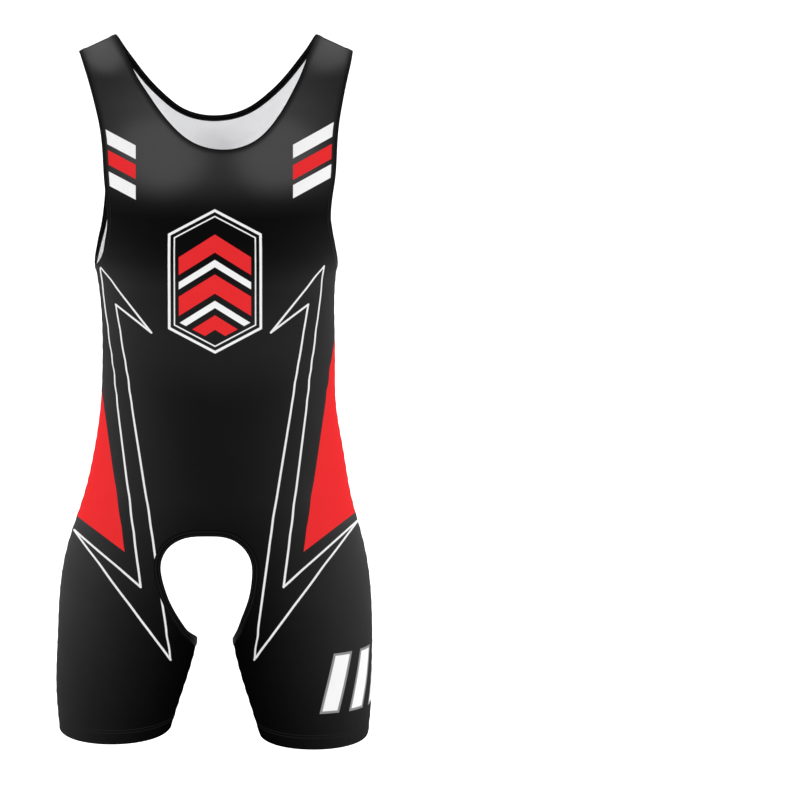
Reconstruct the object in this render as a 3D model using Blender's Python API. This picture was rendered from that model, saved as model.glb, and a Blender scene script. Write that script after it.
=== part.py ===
"""Wrestling singlet in stretch knit, filled out as when it is worn, with nobody in it.

Metres, +Z up, the front faces -Y. The origin is midway between the undersides of the two shoulder
straps, where the shoulders hold the garment up.

A place on the cloth is given by four values. face is FRONT or BACK, and side is -1 or +1 for the half at
-X or +X. around runs from 0 at the middle of the body, or at the inseam of a leg, to 1 at the side seam.
height is measured down the cloth as on a flat pattern: below the shoulders it is the true height.
"""
import math
from collections import namedtuple

import bmesh
import bpy
import numpy as np

MM = 0.001

# Cloth and sewing
WALL = 1.5 * MM             # thickness of the knit
SEAM_GAP = 0.3 * MM         # between two pieces at a seam
BINDING_PROUD = 0.4 * MM    # the folded strip stands above the cloth by this on each face
FOLD = 0.15                 # share of the strip's width that its rounded fold takes
NECK_BINDING = 8 * MM       # widths of the folded strips
ARM_BINDING = 8 * MM
OPENING_BINDING = 9 * MM

# Shoulders: the strap rolls over in a quarter round from the front, and in another to the back
ROLL = 60 * MM              # height of the roll
ROLL_LENGTH = ROLL * math.pi / 2
STRAP_INNER = 126.5 * MM    # from the middle to the neck end of the shoulder seam
STRAP_OUTER = 171 * MM      # from the middle to the armhole end of the shoulder seam
SHOULDER_SLOPE = 0.457      # fall of the shoulder seam for each metre outwards
SHOULDER_TOP = WALL + (STRAP_OUTER - STRAP_INNER) / 2 * SHOULDER_SLOPE    # of its neck end

# Heights
NECK_FRONT_DEPTH = -115 * MM
NECK_BACK_DEPTH = -109 * MM
UNDERARM = -276 * MM
INSEAM_TOP = -760 * MM
HEM = {-1: -875 * MM, 1: -880.5 * MM}
HEM_DIP = {-1: 7 * MM, 1: 6.5 * MM}    # each hem hangs a little lower between its seams
HEM_LIFT = {-1: 3.5 * MM, 1: 0.0}      # its end at the inseam is higher than the one at the side seam

FRONT, BACK = -1, 1

Body = namedtuple("Body", "height half centre front back")
BODY = [  # half width, offset of the middle, depth to the front and to the back, in mm
    Body(60, 196, 0.0, 64, 72),
    Body(-50, 195, 0.0, 70, 78),
    Body(-100, 189, 0.0, 78, 88),
    Body(-150, 177, 0.0, 91, 95),
    Body(-200, 165, 0.0, 102, 97),
    Body(-250, 157, -0.2, 105, 94),
    Body(-290, 149.5, 0.2, 103, 90),
    Body(-340, 145.4, 1.9, 98, 84),
    Body(-400, 145.3, 2.9, 94, 80),
    Body(-460, 147.1, 2.2, 92, 84),
    Body(-520, 156, 2.6, 94, 98),
    Body(-580, 168, 0.7, 96, 110),
    Body(-640, 185.5, -1.1, 95, 113),
    Body(-700, 194.8, -1.9, 93, 110),
    Body(-760, 197.2, -2.5, 90, 103),
    Body(-820, 198, -3.5, 87, 96),
    Body(-880, 193.4, -3.6, 84, 90),
]
BODY_SQUARENESS = 2.35      # exponent of the body's round section: 2 is an ellipse

Leg = namedtuple("Leg", "height inner front back")
LEGS = [  # distance of the inseam from the middle, depth of the leg to the front and to the back, in mm
    Leg(-570, 6, 92, 106),
    Leg(-640, 13, 90, 102),
    Leg(-700, 17, 88, 97),
    Leg(-757, 21.6, 84, 91),
    Leg(-800, 31.3, 80, 85),
    Leg(-840, 43.7, 75, 79),
    Leg(-880, 55.9, 71, 74),
]
LEG_SQUARENESS = 2.1
LEGS_PART = {FRONT: -606 * MM, BACK: -572 * MM}    # where the one body starts to part into two legs
LEGS_WHOLE = -750 * MM

Edge = namedtuple("Edge", "height half centre")
NECK = {  # finished edge, from the shoulder seam down to the middle, in mm
    FRONT: [Edge(15, 119, 1.0), Edge(-1, 112.5, 2.0), Edge(-17, 106, 3.0), Edge(-32, 98.6, 4.0),
            Edge(-48, 89.1, 5.2), Edge(-64, 79.2, 6.3), Edge(-80, 67.4, 7.3), Edge(-93.5, 55.2, 8.2),
            Edge(-103, 43.5, 8.7), Edge(-110, 30, 9.0)],
    BACK: [Edge(15, 122.5, 0.0), Edge(-1, 118.5, 0.0), Edge(-17, 112, 0.0), Edge(-32, 102.9, -0.2),
           Edge(-48, 91.6, -0.4), Edge(-64, 79, -0.6), Edge(-80, 63.8, -1.0), Edge(-96, 45, -1.8)],
}
ARMHOLE = {  # finished edge, from the shoulder seam down to the side seam, in mm
    FRONT: [Edge(-6, 167.8, 1.2), Edge(-38, 161, 2.5), Edge(-69, 154, 3.6), Edge(-100, 148.5, 4.5),
            Edge(-130, 146, 5.0), Edge(-160, 144, 4.8), Edge(-182, 141.3, 4.2), Edge(-200, 139.8, 4.0),
            Edge(-218, 140, 4.2), Edge(-238, 143.4, 4.4), Edge(-251, 145.8, 4.1), Edge(-264, 148.4, 2.8)],
    BACK: [Edge(-6, 166.5, 0.0), Edge(-38, 158, 0.0), Edge(-69, 150.5, 0.0), Edge(-100, 145, 0.0),
           Edge(-130, 142, 0.0), Edge(-160, 140.5, 0.0), Edge(-190, 139.5, 0.0), Edge(-220, 141.5, 0.0),
           Edge(-241, 144.8, -0.2), Edge(-257, 148.6, -0.6), Edge(-268, 150.8, -0.4)],
}
OPENING = {  # finished edge between the legs, from the top of the arch down to the inseam, in mm
    FRONT: [Edge(-612, 32.4, -12.2), Edge(-626, 49.2, -13.0), Edge(-640, 55.6, -12.8),
            Edge(-667, 55.1, -11.4), Edge(-694, 48.6, -9.4), Edge(-724, 36.9, -6.9), Edge(-738, 31, -5.2),
            Edge(-750, 25, -3.5)],
    BACK: [Edge(-583, 50.5, -2.0), Edge(-597, 66, -3.0), Edge(-613, 74.5, -3.0), Edge(-640, 79, -3.0),
           Edge(-667, 78, -3.0), Edge(-694, 73.2, -3.6), Edge(-717, 65.5, -4.3), Edge(-738, 56, -4.6),
           Edge(-754, 45, -4.4), Edge(-762, 33.5, -3.4)],
}
OPENING_TOP = {FRONT: (-13 * MM, -607.2 * MM), BACK: (-1 * MM, -570 * MM)}    # place across, height

# Fineness of the solids
COLUMNS = 10                # across half a panel
NECK_STEPS = 17             # along a quarter of the neck
ARM_STEPS = 27              # along the front or the back of an armhole
ARCH_STEPS = 20             # along a quarter of the opening between the legs
MIDDLE_ROWS = 17            # down the middle, from the neck to the opening
LEG_ROWS = 4                # down an inseam
HALF_GIRTH = 0.2            # typical girth of half a panel: one unit of around is about this long
HALVINGS = 40               # enough to find a place on the cloth exactly
TINY = 1e-6                 # less than this from the shoulder seam is on it
SLOPE_STEP = 1e-4           # step in around and in height over which a slope is measured


# ---------------------------------------------------------------- smooth curves through short tables

class Spline:
    """A natural cubic spline through rows of numbers."""

    def __init__(self, knots, rows):
        self.knots = np.array(knots, float)
        self.rows = np.array(rows, float)
        count = len(self.knots)
        step = np.diff(self.knots)
        system = np.eye(count)
        bends = np.zeros_like(self.rows)
        for i in range(1, count - 1):
            system[i, i - 1:i + 2] = step[i - 1], 2 * (step[i - 1] + step[i]), step[i]
            bends[i] = 6 * ((self.rows[i + 1] - self.rows[i]) / step[i]
                            - (self.rows[i] - self.rows[i - 1]) / step[i - 1])
        self.bends = np.linalg.solve(system, bends)

    def __call__(self, at):
        i = int(np.clip(np.searchsorted(self.knots, at) - 1, 0, len(self.knots) - 2))
        step = self.knots[i + 1] - self.knots[i]
        after = (at - self.knots[i]) / step
        before = 1 - after
        bend = (before ** 3 - before) * self.bends[i] + (after ** 3 - after) * self.bends[i + 1]
        return before * self.rows[i] + after * self.rows[i + 1] + bend * step * step / 6


def height_spline(table):
    """The columns of a table in mm as a spline over the height, in metres."""
    rows = sorted(table)
    return Spline([row.height * MM for row in rows], [[v * MM for v in row[1:]] for row in rows])


def path_spline(points):
    """A smooth path through points of the pattern, with its knots a chord's length apart."""
    knots = [0.0]
    for (around_a, height_a), (around_b, height_b) in zip(points, points[1:]):
        knots.append(knots[-1] + math.hypot((around_b - around_a) * HALF_GIRTH, height_b - height_a))
    return Spline(knots, points)


body_at = height_spline(BODY)
leg_at = height_spline(LEGS)


# ---------------------------------------------------------------- the form that the cloth takes

def round_section(angle, half, depth, squareness):
    """A point of a rounded section, angle 0 to the front or back and a quarter turn to the side."""
    across, outward = math.sin(angle), math.cos(angle)
    reach = (abs(across / half) ** squareness + abs(outward / depth) ** squareness) ** (-1 / squareness)
    return reach * across, reach * outward


def parted(face, height):
    """0 where the body is one, 1 where it is two legs."""
    t = (LEGS_PART[face] - height) / (LEGS_PART[face] - LEGS_WHOLE)
    t = min(max(t, 0.0), 1.0)
    return t * t * (3 - 2 * t)


def section_point(face, around, height):
    """Distance from the body's middle, and depth, at this height. Negative depth is past the seam."""
    half, _, *depths = body_at(height)
    depth = depths[0] if face == FRONT else depths[1]
    across, out = round_section(around * math.pi / 2, half, depth, BODY_SQUARENESS)
    share = parted(face, height)
    if share == 0.0:
        return across, out
    inner, *leg_depths = leg_at(height)
    leg_depth = leg_depths[0] if face == FRONT else leg_depths[1]
    leg_across, leg_out = round_section((around * 2 - 1) * math.pi / 2, (half - inner) / 2, leg_depth,
                                        LEG_SQUARENESS)
    leg_across += (half + inner) / 2
    return across + (leg_across - across) * share, out + (leg_out - out) * share


def roll_start(x):
    """Height at which the strap starts to roll over the shoulder, x from the middle."""
    return SHOULDER_TOP - (abs(x) - STRAP_INNER) * SHOULDER_SLOPE - ROLL


def cloth_point(face, side, around, height, gap=0.0):
    """The outer face of the cloth. A gap holds the front and back panels apart at their seams."""
    across, out = section_point(face, around, height)
    x = body_at(height)[1] + side * across
    past = height - roll_start(x)
    z = height
    if past > 0:
        turn = past / ROLL
        z = roll_start(x) + ROLL * math.sin(turn)
        out *= math.cos(turn)
    return np.array((x, face * (out + gap / 2), z))


def cloth_slopes(face, side, around, height):
    """How the cloth runs for one unit of around, and for one metre of height."""
    d = SLOPE_STEP
    run_around = (cloth_point(face, side, around + d, height)
                  - cloth_point(face, side, around - d, height)) / (2 * d)
    run_height = (cloth_point(face, side, around, height + d)
                  - cloth_point(face, side, around, height - d)) / (2 * d)
    return run_around, run_height


def cloth_normal(face, side, around, height):
    run_around, run_height = cloth_slopes(face, side, around, height)
    normal = np.cross(run_around, run_height) * -face * side
    return normal / np.linalg.norm(normal)


def around_at(face, side, x, height):
    """The value of around whose cloth lies at x, found by halving."""
    low, high = 0.0, 1.0
    wanted = (x - body_at(height)[1]) * side
    for _ in range(HALVINGS):
        middle = (low + high) / 2
        if section_point(face, middle, height)[0] < wanted:
            low = middle
        else:
            high = middle
    return (low + high) / 2


def shoulder_seam(face, side, x):
    """The place of the shoulder seam at x, as around and height."""
    height = roll_start(x) + ROLL_LENGTH
    return around_at(face, side, x, height), height


# ---------------------------------------------------------------- edges of the openings
# A loop is a closed chain of places, each (face, side, around, height), along a finished edge. hand is 1
# if the cloth is above an edge that runs to +X on the front, and -1 if it is below.

Loop = namedtuple("Loop", "places hand width")


def edge_points(rows, face, side):
    """The rows of an edge table as points of the pattern, with around signed by side."""
    points = []
    for row in rows:
        height = row.height * MM
        x = (row.centre + side * row.half) * MM
        points.append((side * around_at(face, side, x, height), height))
    return points


def even_path(points, steps, first=0, last=-1):
    """Places evenly spread along a smooth path, from one of its points to another."""
    path = path_spline(points)
    return [path(t) for t in np.linspace(path.knots[first], path.knots[last], steps + 1)]


def halved_path(face, points, steps, middle, first=0, last=-1):
    """Places on a path from -X to +X, as many on each side. middle is its point by the body's middle."""
    path = path_spline(points)
    low, high = path.knots[middle - 1], path.knots[middle + 1]
    for _ in range(HALVINGS):
        centre = (low + high) / 2
        if path(centre)[0] < 0:
            low = centre
        else:
            high = centre
    left = [path(t) for t in np.linspace(path.knots[first], centre, steps + 1)]
    right = [path(t) for t in np.linspace(centre, path.knots[last], steps + 1)]
    left[-1][0] = 0.0
    return ([(face, -1, abs(around), height) for around, height in left]
            + [(face, 1, abs(around), height) for around, height in right[1:]])


def neck_half(face):
    """The front or the back of the neck edge, from the shoulder seam at -X to the one at +X."""
    depth = NECK_FRONT_DEPTH if face == FRONT else NECK_BACK_DEPTH
    left, right = (shoulder_seam(face, side, side * STRAP_INNER) for side in (-1, 1))
    points = [(-left[0], left[1]), *edge_points(NECK[face], face, -1), (0.0, depth),
              *edge_points(NECK[face][::-1], face, 1), right]
    return halved_path(face, points, NECK_STEPS, middle=len(NECK[face]) + 1)


def neck_loop():
    return Loop(neck_half(FRONT) + neck_half(BACK)[-2:0:-1], -1, NECK_BINDING)


def armhole_loop(side):
    """Down the front from the shoulder seam, through the underarm and up the back."""
    places = []
    for face in (FRONT, BACK):
        other = edge_points(ARMHOLE[-face][-1:], -face, side)
        past_underarm = (2 - abs(other[0][0]), other[0][1])
        own = [(abs(around), height) for around, height in edge_points(ARMHOLE[face], face, side)]
        points = [shoulder_seam(face, side, side * STRAP_OUTER), *own, (1.0, UNDERARM), past_underarm]
        half = [(face, side, around, height) for around, height in even_path(points, ARM_STEPS, last=-2)]
        places += half if face == FRONT else half[-2:0:-1]
    return Loop(places, -side, ARM_BINDING)


def arch_half(face):
    """The front or the rear arch between the legs, from the inseam at -X to the one at +X."""
    top_x, top_height = OPENING_TOP[face]
    top_side = -1 if top_x < 0 else 1
    top = (top_side * around_at(face, top_side, top_x, top_height), top_height)
    left = edge_points(OPENING[face][::-1], face, -1)
    right = edge_points(OPENING[face], face, 1)
    inseam = (0.0, INSEAM_TOP)
    past_left, past_right = ((-around, height) for around, height in (left[0], right[-1]))
    points = [past_left, inseam, *left, top, *right, inseam, past_right]
    return halved_path(face, points, ARCH_STEPS, middle=len(left) + 2, first=1, last=-2)


def opening_loop():
    return Loop(arch_half(FRONT) + arch_half(BACK)[-2:0:-1], 1, OPENING_BINDING)


def inset(loop, width):
    """The places of a loop moved into the cloth by a width, measured along the cloth."""
    spots = [cloth_point(*place) for place in loop.places]
    moved = []
    for i, (face, side, around, height) in enumerate(loop.places):
        normal = cloth_normal(face, side, around, height)
        along = spots[(i + 1) % len(spots)] - spots[i - 1]
        inward = np.cross(normal, along) * loop.hand
        inward *= width / np.linalg.norm(inward)
        runs = np.column_stack(cloth_slopes(face, side, around, height))
        step = np.linalg.lstsq(runs, inward, rcond=None)[0]
        if around in (0.0, 1.0):
            step[0] = 0.0
        place = (face, side, around + step[0], height + step[1])
        if abs(spots[i][1]) < TINY and height > roll_start(spots[i][0]):
            place = (face, side, *shoulder_seam(face, side, cloth_point(*place)[0]))
        moved.append(place)
    return moved


# ---------------------------------------------------------------- panels

def spread(points, steps):
    """Points evenly spread along a chain of pattern points."""
    chain = np.array(points)
    lengths = np.hypot(np.diff(chain[:, 0]) * HALF_GIRTH, np.diff(chain[:, 1]))
    reached = np.concatenate(([0.0], np.cumsum(lengths)))
    places = np.linspace(0, reached[-1], steps + 1)
    return [tuple(np.interp(t, reached, chain[:, k]) for k in (0, 1)) for t in places]


def half_loop(places, face):
    """The front or the back of a loop's places, with both of the ends that the two share."""
    half = len(places) // 2
    return places[:half + 1] if face == FRONT else [places[0], *places[:half - 1:-1]]


def hem_height(side, around):
    return HEM[side] + HEM_LIFT[side] * (1 - around) - HEM_DIP[side] * math.sin(math.pi * around)


def half_panel_rows(face, side, neck, arch, armhole):
    """The rows of pattern points on half a panel, from the shoulder seam to the hem."""
    neck, arch = (half_loop(places, face)[::-side] for places in (neck, arch))
    neck_side = [place[2:] for place in neck[:NECK_STEPS + 1]]
    arch_side = [place[2:] for place in arch[:ARCH_STEPS + 1]][::-1]
    arm_side = [place[2:] for place in half_loop(armhole, face)]
    ridge = np.linspace(cloth_point(*neck[0])[0], cloth_point(*armhole[0])[0], COLUMNS + 1)

    inner = (neck_side
             + spread([neck_side[-1], arch_side[0]], MIDDLE_ROWS)[1:]
             + arch_side[1:]
             + spread([arch_side[-1], (0.0, hem_height(side, 0.0))], LEG_ROWS)[1:])
    outer = arm_side + spread([arm_side[-1], (1.0, HEM[side])], len(inner) - len(arm_side))[1:]
    rows = [[tuple(np.array(a) + (np.array(b) - np.array(a)) * i / COLUMNS) for i in range(COLUMNS + 1)]
            for a, b in zip(inner, outer)]
    rows[0] = [shoulder_seam(face, side, x) for x in ridge]
    rows[-1] = [(around, hem_height(side, around)) for around, _ in rows[-1]]
    return rows


def panel(name, face, neck, arch, armholes, material):
    """A panel as a wall of cloth whose edges stand square to it."""
    mesh = bmesh.new()
    normals = {}
    middle = {}
    whole = range(NECK_STEPS, NECK_STEPS + MIDDLE_ROWS + 1)
    for side in (-1, 1):
        grid = []
        for j, row in enumerate(half_panel_rows(face, side, neck, arch, armholes[side])):
            line = []
            for i, (around, height) in enumerate(row):
                if i == 0 and j in middle:
                    line.append(middle[j])
                    continue
                vert = mesh.verts.new(cloth_point(face, side, around, height, SEAM_GAP))
                normals[vert] = cloth_normal(face, side, around, height)
                line.append(vert)
                if i == 0 and j in whole:
                    middle[j] = vert
            grid.append(line)
        for upper, lower in zip(grid, grid[1:]):
            for i in range(COLUMNS):
                mesh.faces.new((upper[i], lower[i], lower[i + 1], upper[i + 1]))
    bmesh.ops.recalc_face_normals(mesh, faces=mesh.faces)
    thicken(mesh, normals)
    return finish(name, mesh, material)


def thicken(mesh, normals):
    """Give a skin its wall, inwards along the cloth's own normals."""
    skin = list(mesh.faces)
    rims = [edge.link_loops[0] for edge in mesh.edges if len(edge.link_faces) == 1]
    inner = {vert: mesh.verts.new(np.array(vert.co) - normal * WALL) for vert, normal in normals.items()}
    for loop in rims:
        a, b = loop.vert, loop.link_loop_next.vert
        mesh.faces.new((b, a, inner[a], inner[b]))
    for face in skin:
        mesh.faces.new([inner[vert] for vert in reversed(face.verts)])


# ---------------------------------------------------------------- bindings

def binding(name, loop, material):
    """A folded strip that wraps a finished edge, as a closed loop."""
    thick = WALL + BINDING_PROUD
    fold = FOLD * loop.width
    section = [(0.0, 0.0), (fold, BINDING_PROUD), (loop.width, BINDING_PROUD),
               (loop.width, -thick), (fold, -thick), (0.0, -WALL)]    # distance in from the edge, lift
    lines = {across: inset(loop, across) for across, _ in section}
    mesh = bmesh.new()
    rings = []
    for i in range(len(loop.places)):
        ring = []
        for across, lift in section:
            place = lines[across][i]
            ring.append(mesh.verts.new(cloth_point(*place) + cloth_normal(*place) * lift))
        rings.append(ring)
    for ring, following in zip(rings, rings[1:] + rings[:1]):
        for k in range(len(section)):
            after = (k + 1) % len(section)
            mesh.faces.new((ring[k], ring[after], following[after], following[k]))
    return finish(name, mesh, material)


# ---------------------------------------------------------------- objects

def cloth_material(name, colour, roughness):
    material = bpy.data.materials.new(name)
    material.use_nodes = True
    shader = material.node_tree.nodes["Principled BSDF"]
    shader.inputs["Base Color"].default_value = (*colour, 1.0)
    shader.inputs["Roughness"].default_value = roughness
    shader.inputs["Metallic"].default_value = 0.0
    return material


def finish(name, mesh, material):
    """Turn a mesh into a named object of the garment."""
    bmesh.ops.recalc_face_normals(mesh, faces=mesh.faces)
    data = bpy.data.meshes.new(name)
    mesh.to_mesh(data)
    mesh.free()
    data.materials.append(material)
    data.shade_smooth()
    data.set_sharp_from_angle(angle=math.radians(40))
    thing = bpy.data.objects.new(name, data)
    garment.objects.link(thing)
    return thing


for old in list(bpy.data.objects):
    bpy.data.objects.remove(old, do_unlink=True)
garment = bpy.data.collections.new("wrestling_singlet")
bpy.context.scene.collection.children.link(garment)

neck_edge = neck_loop()
opening_edge = opening_loop()
armhole_edges = {side: armhole_loop(side) for side in (-1, 1)}

neck_seam, opening_seam = (inset(edge, edge.width + SEAM_GAP) for edge in (neck_edge, opening_edge))
armhole_seams = {side: inset(edge, edge.width + SEAM_GAP) for side, edge in armhole_edges.items()}
for panel_name, panel_face in (("front_panel", FRONT), ("back_panel", BACK)):
    panel(panel_name, panel_face, neck_seam, opening_seam, armhole_seams,
          cloth_material(panel_name + "_knit", (0.012, 0.011, 0.011), 0.55))

binding("neck_binding", neck_edge, cloth_material("neck_strip", (0.008, 0.008, 0.008), 0.6))
binding("opening_binding", opening_edge, cloth_material("opening_strip", (0.006, 0.006, 0.006), 0.6))
for arm_side, side_name in ((-1, "right"), (1, "left")):    # the wearer's own right and left
    binding("armhole_binding_" + side_name, armhole_edges[arm_side],
            cloth_material(side_name + "_armhole_strip", (0.008, 0.008, 0.008), 0.6))
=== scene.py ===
"""The looks of a wrestling singlet, filled out as when it is worn, with nobody in it."""
import math

import bpy
import numpy as np
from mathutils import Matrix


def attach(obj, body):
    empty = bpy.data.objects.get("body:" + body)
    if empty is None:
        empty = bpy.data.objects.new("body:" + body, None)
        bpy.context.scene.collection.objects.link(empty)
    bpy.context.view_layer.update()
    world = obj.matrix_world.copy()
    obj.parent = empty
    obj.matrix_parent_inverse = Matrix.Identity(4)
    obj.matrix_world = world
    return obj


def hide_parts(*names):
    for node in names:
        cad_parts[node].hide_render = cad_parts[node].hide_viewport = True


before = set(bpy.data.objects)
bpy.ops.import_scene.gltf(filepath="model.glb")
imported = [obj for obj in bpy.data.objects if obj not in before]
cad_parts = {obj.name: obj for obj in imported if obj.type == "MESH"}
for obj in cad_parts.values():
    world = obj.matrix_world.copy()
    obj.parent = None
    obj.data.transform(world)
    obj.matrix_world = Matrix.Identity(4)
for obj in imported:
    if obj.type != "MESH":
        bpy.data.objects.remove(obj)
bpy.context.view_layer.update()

MM = 0.001
FRONT, BACK = -1, 1

# ------------------------------ front panel
# One piece of polyester and elastane knit from the shoulder seams to both leg hems, cut out at the neck,
# the armholes and the opening between the legs. The colours are dyed into its outer face, the inside
# stays pale, and its legs are turned up and stitched. A place on the cloth is (around, height): around
# runs from 0 at the middle or an inseam to 1 at the side seam, height is measured down the cloth.

KNIT = 0.8 * MM  # thickness of one layer
TURNED_UP = 20 * MM  # depth of the leg hems, where the cloth is double
HEM_ROUND = 0.3 * MM  # the fold at the hem draws in by this
HEM_ROUND_UP = 1.2 * MM  # over this height
HEM_STEP = 1.5 * MM  # the turned-up edge tapers over this height
BINDING_PROUD = 0.4 * MM  # the bindings stand above the cloth by this
BINDING_OVER = 2 * MM  # and cover its cut edge by this

ROLL = 60 * MM  # the strap rolls over the shoulder in two quarter rounds
ROLL_LENGTH = ROLL * math.pi / 2
STRAP_INNER = 126.5 * MM
STRAP_OUTER = 171 * MM
SHOULDER_SLOPE = 0.457
SHOULDER_TOP = 1.5 * MM + (STRAP_OUTER - STRAP_INNER) / 2 * SHOULDER_SLOPE

NECK_DEPTH = {FRONT: -115 * MM, BACK: -109 * MM}
UNDERARM = -276 * MM
INSEAM_TOP = -760 * MM
HEM = {-1: -875 * MM, 1: -880.5 * MM}
HEM_DIP = {-1: 7 * MM, 1: 6.5 * MM}
HEM_LIFT = {-1: 3.5 * MM, 1: 0.0}

BODY = [  # height, half width, offset of the middle, depth to the front and to the back, in mm
    (60, 196, 0, 64, 72), (-50, 195, 0, 70, 78), (-100, 189, 0, 78, 88), (-150, 177, 0, 91, 95),
    (-200, 165, 0, 102, 97), (-250, 157, -0.2, 105, 94), (-290, 149.5, 0.2, 103, 90),
    (-340, 145.4, 1.9, 98, 84), (-400, 145.3, 2.9, 94, 80), (-460, 147.1, 2.2, 92, 84),
    (-520, 156, 2.6, 94, 98), (-580, 168, 0.7, 96, 110), (-640, 185.5, -1.1, 95, 113),
    (-700, 194.8, -1.9, 93, 110), (-760, 197.2, -2.5, 90, 103), (-820, 198, -3.5, 87, 96),
    (-880, 193.4, -3.6, 84, 90),
]
BODY_SQUARENESS = 2.35
LEGS = [  # height, distance of the inseam from the middle, depth to the front and to the back, in mm
    (-570, 6, 92, 106), (-640, 13, 90, 102), (-700, 17, 88, 97), (-757, 21.6, 84, 91), (-800, 31.3, 80, 85),
    (-840, 43.7, 75, 79), (-880, 55.9, 71, 74),
]
LEG_SQUARENESS = 2.1
LEGS_PART = {FRONT: -606 * MM, BACK: -572 * MM}
LEGS_WHOLE = -750 * MM
LEGS_KNOWN = (-880 * MM, -570 * MM)

# Finished edges, which the front shares with the back at the seams: height, half width, offset of the
# middle, in mm, each from its upper end to its lower end
NECK = {
    FRONT: [(15, 119, 1), (-1, 112.5, 2), (-17, 106, 3), (-32, 98.6, 4), (-48, 89.1, 5.2),
            (-64, 79.2, 6.3), (-80, 67.4, 7.3), (-93.5, 55.2, 8.2), (-103, 43.5, 8.7), (-110, 30, 9)],
    BACK: [(15, 122.5, 0), (-1, 118.5, 0), (-17, 112, 0), (-32, 102.9, -0.2), (-48, 91.6, -0.4),
           (-64, 79, -0.6), (-80, 63.8, -1), (-96, 45, -1.8)],
}
ARMHOLE = {
    FRONT: [(-6, 167.8, 1.2), (-38, 161, 2.5), (-69, 154, 3.6), (-100, 148.5, 4.5), (-130, 146, 5),
            (-160, 144, 4.8), (-182, 141.3, 4.2), (-200, 139.8, 4), (-218, 140, 4.2), (-238, 143.4, 4.4),
            (-251, 145.8, 4.1), (-264, 148.4, 2.8)],
    BACK: [(-6, 166.5, 0), (-38, 158, 0), (-69, 150.5, 0), (-100, 145, 0), (-130, 142, 0),
           (-160, 140.5, 0), (-190, 139.5, 0), (-220, 141.5, 0), (-241, 144.8, -0.2),
           (-257, 148.6, -0.6), (-268, 150.8, -0.4)],
}
OPENING = {
    FRONT: [(-612, 32.4, -12.2), (-626, 49.2, -13), (-640, 55.6, -12.8), (-667, 55.1, -11.4),
            (-694, 48.6, -9.4), (-724, 36.9, -6.9), (-738, 31, -5.2), (-750, 25, -3.5)],
    BACK: [(-583, 50.5, -2), (-597, 66, -3), (-613, 74.5, -3), (-640, 79, -3), (-667, 78, -3),
           (-694, 73.2, -3.6), (-717, 65.5, -4.3), (-738, 56, -4.6), (-754, 45, -4.4), (-762, 33.5, -3.4)],
}
OPENING_TOP = {FRONT: (-13 * MM, -607.2 * MM), BACK: (-1 * MM, -570 * MM)}

# Soft creases of the worn cloth: from and to (distance around, height), width, and depth, in mm.
# Those with a distance at both ends lie on each side.
HALF_GIRTH = 0.2  # one unit of around is about this long
CREASES = {FRONT: [
    (-95, -214, 95, -214, 17, -2.6), (-70, -262, 75, -268, 20, 1),
    (0, -130, 0, -195, 15, -1.4),
]}
PAIRED_CREASES = {FRONT: [
    (178, -268, 88, -222, 11, -1.7), (176, -300, 96, -262, 10, -1.1),
    (168, -30, 150, -118, 8, -0.9),
    (196, -378, 104, -396, 8, -1.3), (196, -402, 84, -420, 9, -1.8), (196, -430, 112, -440, 7, -1.1),
    (186, -350, 120, -352, 9, -0.8),
    (52, -600, 150, -548, 10, -2), (66, -622, 172, -584, 9, -1.6), (30, -590, 66, -520, 11, -1.2),
    (84, -660, 186, -640, 9, -1.3), (78, -700, 170, -700, 10, -1.4),
    (20, -752, 118, -726, 8, -1.6), (12, -776, 96, -764, 7, -1.2), (8, -806, 84, -800, 8, -0.9),
    (60, -868, 66, -826, 7, -0.7), (128, -874, 124, -820, 8, -0.8), (168, -870, 160, -800, 9, -0.7),
]}
FLAT_BY_SEAM = 22 * MM  # creases die out within this of a seam
PUCKER = 0.35 * MM  # the cloth puckers by this beside a seam
PUCKER_LENGTH = 17 * MM
PUCKER_PEAK = 5 * MM  # and most of all at this distance
DRIFT, DRIFT_LENGTH = 1.7, 43 * MM  # unevenness of the puckers, along the seam
CREASE_FROM, CREASE_OVER = 0.1, 0.8  # a crease is as deep along its way as this part of a half wave

# Soft light areas of the black cloth are painted light and shade in its colour: painted highlights on the
# straps, chest, hips and outer legs, and darker painted shade below the chest and inside the legs. Rows give
# height in mm, share of painted light at the middle, and how much more at the side. They don't follow the
# lamps, and zeros here and in the spots below make the cloth plain black.
PAINTED_LIGHT_ROWS = {FRONT: [
    (40, 0.45, 0.2), (-6, 0.5, 0.1), (-32, 0.6, -0.62), (-60, 0.84, -1), (-85, 0.66, -0.62),
    (-110, 0.38, -0.18), (-150, 0.36, -0.14), (-182, 0.1, 0.04), (-200, 0.03, 0.1), (-232, 0.03, 0.22),
    (-255, 0.05, 0.3), (-290, 0.12, 0.62), (-420, 0.09, 0.6), (-560, 0.1, 0.78), (-640, 0.03, 0.8),
    (-700, 0, 0.8), (-880, 0, 0.42),
]}
PAINTED_LIGHT_RISE = 2.7  # how late it rises towards the side
# Painted highlights on the chest, the straps and the hips, and a faint one on the belly.
PAINTED_LIGHT_SPOTS = {FRONT: [  # middle across and height, half width and half height in mm, share
    (-71, -124, 60, 44, 0.62), (77, -124, 54, 44, 0.62), (0, -362, 100, 60, 0.08),
    (-165, -560, 40, 40, 0.32), (165, -560, 40, 40, 0.3), (-138, -8, 22, 17, 0.5), (140, -8, 22, 17, 0.3),
]}

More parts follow.
